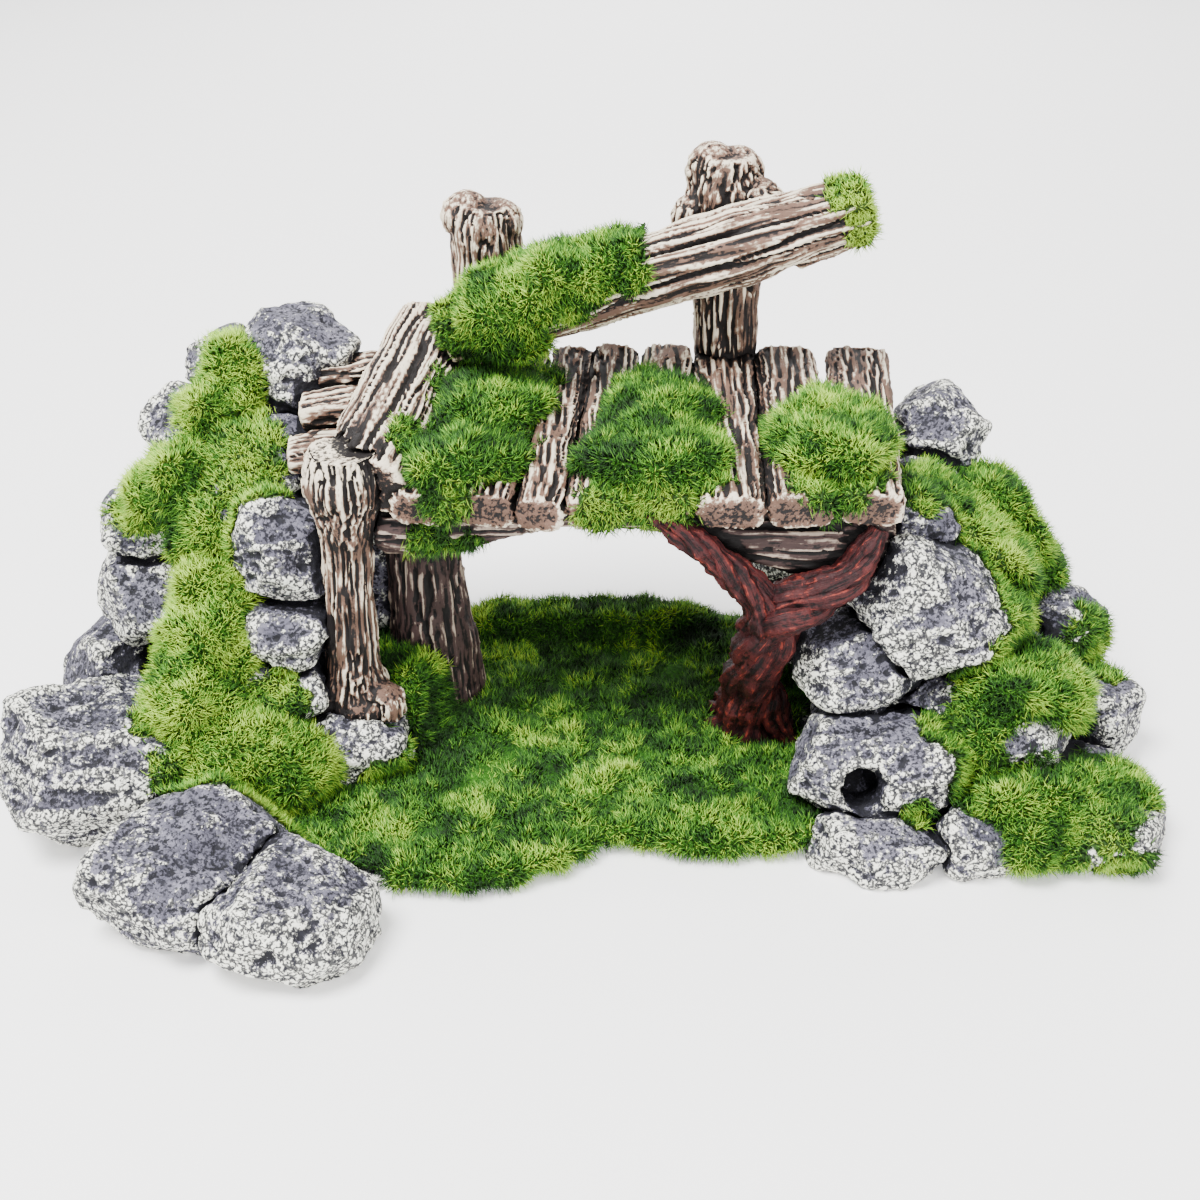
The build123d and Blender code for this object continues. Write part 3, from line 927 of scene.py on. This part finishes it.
def fibre_tree():
    tree, given, out = new_tree(
        "moss fibres",
        {
            "Density": ("Float", 9.0),
            "Paleness": ("Float", 0.0),
            "Length": ("Float", 2.3),
            "Thickness": ("Float", 0.13),
            "Seed": ("Int", 0),
            "Material": ("Material", None),
        },
    )
    sky_left = named(tree, "sky")
    lit = ramp(tree, sky_left, 0.02, 0.12)
    inside = glue_edge(tree, in_millimetres(tree), named(tree, "reach"))
    density = times(tree, times(tree, given["Density"], lit), inside)
    density = times(tree, density, 1 / MM**2)
    spread = add_node(
        tree,
        "GeometryNodeDistributePointsOnFaces",
        {"Mesh": given["Geometry"], "Density": density, "Seed": given["Seed"]},
    )
    place = in_millimetres(tree)
    sway = add_node(
        tree, "ShaderNodeTexNoise", {"Vector": place, "Scale": 1 / 5.0, "Detail": 1.0}
    ).outputs[1]
    sway = vector_calc(tree, "SUBTRACT", sway, (0.5, 0.5, 0.5))
    jitter = add_node(
        tree,
        "FunctionNodeRandomValue",
        {"Min": (-0.5, -0.5, -0.5), "Max": (0.5, 0.5, 0.5), "Seed": 3},
        data_type="FLOAT_VECTOR",
    ).outputs[0]
    lean = vector_calc(tree, "ADD", spread.outputs["Normal"], vector_calc(tree, "SCALE", sway, 2.0))
    lean = vector_calc(tree, "ADD", lean, vector_calc(tree, "SCALE", jitter, 1.5))
    turn = add_node(tree, "FunctionNodeAlignRotationToVector", {"Vector": lean}, axis="Z").outputs[0]
    longer = drawn(tree, 0.6, 1.2, 5)
    tall = times(tree, times(tree, longer, given["Length"]), MM)
    wide = times(tree, given["Thickness"], MM)
    size = add_node(tree, "ShaderNodeCombineXYZ", {"X": wide, "Y": wide, "Z": tall}).outputs[0]
    tone = fibre_tone(tree, place, sky_left, given["Paleness"])
    points = keep_attribute(tree, spread.outputs["Points"], "tone", tone)
    spike = add_node(
        tree,
        "GeometryNodeMeshCone",
        {"Vertices": 3, "Radius Top": 0.0, "Radius Bottom": 1.0, "Depth": 1.0},
        fill_type="NGON",
    ).outputs[0]
    parts = add_node(
        tree, "ShaderNodeSeparateXYZ", {0: tree.nodes.new("GeometryNodeInputPosition").outputs[0]}
    )
    spike = keep_attribute(tree, spike, "along", parts.outputs[2])
    spike = keep_attribute(tree, spike, "aside", parts.outputs[0])
    planted = add_node(
        tree,
        "GeometryNodeInstanceOnPoints",
        {"Points": points, "Instance": spike, "Rotation": turn, "Scale": size},
    ).outputs[0]
    shape = add_node(tree, "GeometryNodeRealizeInstances", {0: planted}).outputs[0]
    shape = fibre_map(tree, shape)
    sockets = {"Geometry": shape, "Material": given["Material"]}
    tree.links.new(add_node(tree, "GeometryNodeSetMaterial", sockets).outputs[0], out)
    return tree


def fibre_tone(tree, place, sky_left, paleness):
    """How pale a fibre is, from 0 to 1: patches, small tufts and chance, with painted shade where little
    sky is open, and painted light on the pad's ridges and painted shade in its hollows.
    """
    patch = noise(tree, place, 9.0, 1.0, 0.5, 2.0)
    tuft = noise(tree, place, 2.6, 1.0, 0.5, 4.0)
    chance = drawn(tree, -0.5, 0.5, 9)
    edge = named(tree, "edge")
    tone = weigh(tree, calc(tree, "SUBTRACT", patch, 0.5), 1.5, 0.33)
    tone = weigh(tree, calc(tree, "SUBTRACT", tuft, 0.5), 1.6, tone)
    tone = weigh(tree, chance, 0.65, tone)
    # Painted shade: fibres with little open sky, as in the cave and the hollows, are darker.
    tone = weigh(tree, sky_left, 0.22, calc(tree, "ADD", tone, paleness))
    # Painted light and shade: fibres on the pad's ridges are paler and those in its hollows darker.
    return calc(tree, "MULTIPLY_ADD", edge, 0.35, tone, clamp=True)


def fibre_map(tree, shape):
    """A map on which a fibre lies by its tone across and by its height up."""
    across = weigh(tree, named(tree, "aside"), 0.004, named(tree, "tone"))
    across = weigh(tree, across, 0.98, 0.01)
    up = weigh(tree, named(tree, "along"), 0.96, 0.02)
    at = add_node(tree, "ShaderNodeCombineXYZ", {"X": across, "Y": up}).outputs[0]
    return keep_attribute(tree, shape, "OFBake", at, "FLOAT2", "CORNER")


# %% The flock's colours
def flock_colour(tree, tone, height):
    """Dark at the root and pale at the tip, a painted shade along the fibre, from deep green to yellow
    green by tone.
    """
    made = add_node(tree, "ShaderNodeValToRGB", {"Fac": tone})
    stops = made.color_ramp.elements
    stops[0].position, stops[0].color = 0.0, (0.006, 0.024, 0.003, 1)
    stops[1].position, stops[1].color = 1.0, (0.52, 0.80, 0.08, 1)
    middle = ((0.3, (0.020, 0.088, 0.008)), (0.55, (0.058, 0.21, 0.015)), (0.8, (0.19, 0.47, 0.035)))
    for position, colour in middle:
        stops.new(position).color = (*colour, 1)
    # Painted shade by height along the fibre: darker towards the root, where the flock shades itself.
    shade = ramp(tree, height, 0.0, 0.9, 0.12, 1.0)
    made_shade = add_node(tree, "ShaderNodeCombineColor", {0: shade, 1: shade, 2: shade}).outputs[0]
    return mix(tree, 1.0, made.outputs[0], made_shade, "MULTIPLY")


def fibre_paint():
    paint, tree, shader, _ = new_paint("moss_fibres")
    at = add_node(tree, "ShaderNodeUVMap", uv_map="OFBake").outputs[0]
    parts = add_node(tree, "ShaderNodeSeparateXYZ", {0: at})
    tree.links.new(flock_colour(tree, parts.outputs[0], parts.outputs[1]), shader.inputs["Base Color"])
    set_gloss(shader, 0.6, 0.25)
    return paint


def pad_paint():
    paint, tree, shader, place = new_paint("moss_pad")
    tone = noise(tree, place, 3.0, 2.0, 0.6)
    height = noise(tree, place, 0.5, 2.0, 0.6, 4.0)
    tree.links.new(flock_colour(tree, times(tree, tone, 0.8), height), shader.inputs["Base Color"])
    set_gloss(shader, 0.9, 0.1)
    bump(tree, shader, height, 1.0, 0.6)
    return paint


# %% Plant the pads
FIBRES_PER_PIECE = 47000
LEAST_SKY = 0.06  # a face with less open sky than this counts as bare when a pad is split
PAD_VOXEL = 1.1 * MM
PAD_SMOOTHING = 22
pad_shape, fibres_grow = pad_tree(), fibre_tree()
paint_fibres, paint_pad = fibre_paint(), pad_paint()


def chunks(mesh, sky_value, density):
    """Splits a pad's faces, from near to far, into runs that carry few enough fibres."""
    areas = np.array([p.area for p in mesh.polygons]) / MM**2
    lit = np.array([sky_value[list(p.vertices)].mean() > LEAST_SKY for p in mesh.polygons])
    fibres = areas * lit * density
    order = np.argsort([p.center.y for p in mesh.polygons], kind="stable")
    parts = max(1, math.ceil(fibres.sum() / FIBRES_PER_PIECE))
    run = np.cumsum(fibres[order]) / max(fibres.sum(), 1)
    return [order[(run > k / parts) & (run <= (k + 1) / parts)] for k in range(parts)]


def part_of(mesh, faces, name):
    """A new object with only these faces of a mesh, and its attributes."""
    piece = new_object(name, mesh.copy())
    keep = set(int(i) for i in faces)
    work = bmesh.new()
    work.from_mesh(piece.data)
    work.faces.ensure_lookup_table()
    bmesh.ops.delete(work, geom=[f for f in work.faces if f.index not in keep], context="FACES")
    work.to_mesh(piece.data)
    work.free()
    return piece


MOSS_PALENESS = {
    "lawn": -0.10, "moss_left_upper": 0.32, "moss_left_lower": 0.34, "moss_deck_middle": -0.16,
    "moss_deck_left": -0.06, "moss_deck_right": 0.06, "moss_rail": 0.1, "moss_right_lower": -0.06,
}


def plant(node, number, density=8.5, length=2.3):
    """Shapes and paints a pad, plants its fibres, and returns how many faces they have."""
    pad = evened(node, PAD_VOXEL, PAD_SMOOTHING)
    use_tree(pad, pad_shape, seed=number * 5.1)
    settle(pad, paint_pad)
    share = sky_share(pad.data)
    store(pad.data, "sky", share)
    made = 0
    for index, faces in enumerate(chunks(pad.data, share, density)):
        fibres = part_of(pad.data, faces, f"{node}_fibres_{index + 1}")
        use_tree(fibres, fibres_grow, density=density, length=length, seed=number * 10 + index,
                 paleness=MOSS_PALENESS.get(node, 0.0), material=paint_fibres)
        settle(fibres, paint_fibres)
        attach(fibres, "root")
        made += len(fibres.data.polygons)
    finish_piece(pad, node)
    print(node, "pad", len(pad.data.polygons), "fibre faces", made)
    return made


total = sum(plant(node, number) for number, node in enumerate(pads))
print("moss planted,", total, "fibre faces")

# %% [markdown]
# Glue is brushed on by hand, so the flock also creeps off the pads: over the stones between them, along
# a beam, round the tip of the rail. Each spot is a brush stroke, with a place and a reach in millimetres.
# Fibres are planted straight on the sculpted stone or timber where a stroke reaches it.

# %% Where the glue was brushed past the pads
SPOTS = {
    "left_pile": (
        (-81, 16, 52, 9), (-73, 13, 56, 8), (-64, 27, 66, 7), (-62, 22, 60, 7), (-70, 6, 44, 9),
        (-75, -1, 34, 9), (-73, -10, 27, 9), (-67, -17, 18, 9), (-60, -19, 10, 9), (-55, -3, 21, 6),
        (-50, -12, 16, 7), (-58, 12, 47, 5), (-57, -22, 6, 9), (-38, -2, 8, 6),
        (-62, 18, 59, 8), (-60, 14, 54, 7), (-66, 24, 63, 8),
    ),
    "right_pile": (
        (59, 13, 55, 6), (64, 20, 53, 8), (73, 22, 49, 9), (81, 24, 45, 9), (86, 27, 36, 9),
        (80, 12, 36, 8), (76, 5, 33, 9), (72, -3, 27, 8), (64, -11, 20, 7), (87, 0, 23, 8),
        (69, -18, 14, 7), (79, -22, 11, 10), (88, -22, 9, 8.5), (80, -29, 4, 7),
        (92, -25, 4, 6), (57, -20.5, 9, 3.5), (94, 20, 20, 7), (97, 14, 16, 5),
        (76, 10, 43, 8), (72, 15, 47, 8), (68, 18, 50, 8),
    ),
    "bridge": (
        (-27, 2, 51, 4.5), (-21, 2.5, 49, 3.5),
        (-21, 30, 80, 9), (-14, 30, 76, 8), (-20, 24, 70, 9), (-30, 8, 67, 5), (2, -2, 59, 5),
        (13, 4, 63, 11), (42, 4, 65, 10), (12, 20, 67, 12), (-18, 10, 65, 10), (-12, 33, 68, 8),
        (8, -3, 58, 4), (-24, -2, 60, 5),
    ),
    "rail_tip": ((45, 33, 104, 5.5), (48, 32, 101, 4.5), (48, 30, 95, 3)),
}
STROKE_MARGIN = 0.4  # faces this far outside a stroke are kept, as a share of its radius
BRUSHED_PALENESS = {"left_pile": 0.3, "right_pile": 0.14, "bridge": 0.05, "rail_tip": 0.6}


def reach_of(mesh, strokes):
    """How far inside the strokes each vertex lies: 1 at a stroke's middle and 0 at its edge."""
    places = vertex_places(mesh) / MM
    reach = np.full(len(places), -9.0)  # far outside, for pieces that no stroke touches
    for x, y, z, radius in strokes:
        reach = np.maximum(reach, 1 - np.linalg.norm(places - (x, y, z), axis=1) / radius)
    return reach


def creeping(name, nodes, strokes, seed, paleness, density=9.0, length=2.2):
    """Fibres on the sculpted pieces of these nodes, where the strokes reach."""
    verts, faces, reaches = [], [], []
    for node in nodes:
        mesh = sculpted[node].data
        reach = reach_of(mesh, strokes)
        near = [p.vertices[:] for p in mesh.polygons if reach[list(p.vertices)].max() > -STROKE_MARGIN]
        used = sorted({i for face in near for i in face})
        place_of = {old: len(verts) + new for new, old in enumerate(used)}
        verts += [mesh.vertices[i].co.copy() for i in used]
        reaches += [reach[i] for i in used]
        faces += [tuple(place_of[i] for i in face) for face in near]
    mesh = bpy.data.meshes.new(name)
    mesh.from_pydata(verts, [], faces)
    piece = new_object(name, mesh)
    store(mesh, "reach", reaches)
    store(mesh, "sky", sky_share(mesh, 1.6))
    use_tree(piece, fibres_grow, density=density, length=length, seed=seed, paleness=paleness,
             material=paint_fibres)
    settle(piece, paint_fibres)
    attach(piece, "root")
    print(name, len(piece.data.polygons), "fibre faces")


sides = {
    "left_pile": [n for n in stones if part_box(n)[1].x < 0] + ["front_post", "base_slab"],
    "right_pile": [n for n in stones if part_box(n)[0].x > 0],
    "bridge": timbers,
    "rail_tip": ["rail"],
}
for node, piece in sculpted.items():
    strokes = [stroke for side, nodes in sides.items() if node in nodes for stroke in SPOTS[side]]
    store(piece.data, "mossy", reach_of(piece.data, strokes))
for number, (side, strokes) in enumerate(SPOTS.items()):
    creeping(f"creeping_moss_{side}", sides[side], strokes, 50 + number, BRUSHED_PALENESS[side])

# %% [markdown]
# ## The table, the light and the camera
# The ornament stands on a white table under soft light from above and a little to the left.


# %% Table
TABLE_HALF = 30.0  # metres, so that its edge is out of sight
TABLE_GLOW = 0.35  # a weak emission keeps the table nearly white


def table():
    mesh = bpy.data.meshes.new("table")
    work = bmesh.new()
    bmesh.ops.create_grid(work, x_segments=1, y_segments=1, size=TABLE_HALF)
    work.to_mesh(mesh)
    work.free()
    floor = new_object("table", mesh)
    paint = bpy.data.materials.new("table_white")
    paint.use_nodes = True
    inputs = paint.node_tree.nodes["Principled BSDF"].inputs
    inputs["Base Color"].default_value = (0.97, 0.965, 0.965, 1)
    inputs["Roughness"].default_value = 0.6
    inputs["Emission Color"].default_value = (1, 1, 1, 1)
    inputs["Emission Strength"].default_value = TABLE_GLOW
    mesh.materials.append(paint)


table()


# %% Light
def area_light(name, place, size, power, target=(0, 0, 0.03)):
    light = bpy.data.lights.new(name, "AREA")
    light.shape = "DISK"
    light.size = size
    light.energy = power
    lamp = new_object(name, light)
    lamp.location = place
    aim = Vector(target) - Vector(place)
    lamp.rotation_euler = aim.to_track_quat("-Z", "Y").to_euler()


area_light("key", (-0.3, -0.25, 0.85), 0.45, 23.0)
area_light("fill", (0.4, -0.7, 0.40), 0.8, 6.5)
area_light("back", (0.05, 0.75, 0.45), 0.8, 6.0)
world = bpy.data.worlds.new("studio")
world.use_nodes = True
world.node_tree.nodes["Background"].inputs["Color"].default_value = (1.0, 0.99, 0.98, 1)
world.node_tree.nodes["Background"].inputs["Strength"].default_value = 1.1
bpy.context.scene.world = world


# %% Camera
VIEW_TARGET = Vector((2, 0, 40)) * MM
VIEW_DISTANCE = 297 * MM
VIEW_ELEVATION = math.radians(30)
FOCAL_SHARE = 17 / 12  # the focal length as a share of the sensor's width

camera = bpy.data.cameras.new("view")
camera.sensor_width = 36.0
camera.lens = camera.sensor_width * FOCAL_SHARE
camera.clip_start = 0.01
eye = new_object("view", camera)
back = Vector((0.0, -math.cos(VIEW_ELEVATION), math.sin(VIEW_ELEVATION)))
eye.location = VIEW_TARGET + back * VIEW_DISTANCE
eye.rotation_euler = (-back).to_track_quat("-Z", "Y").to_euler()
bpy.context.scene.camera = eye
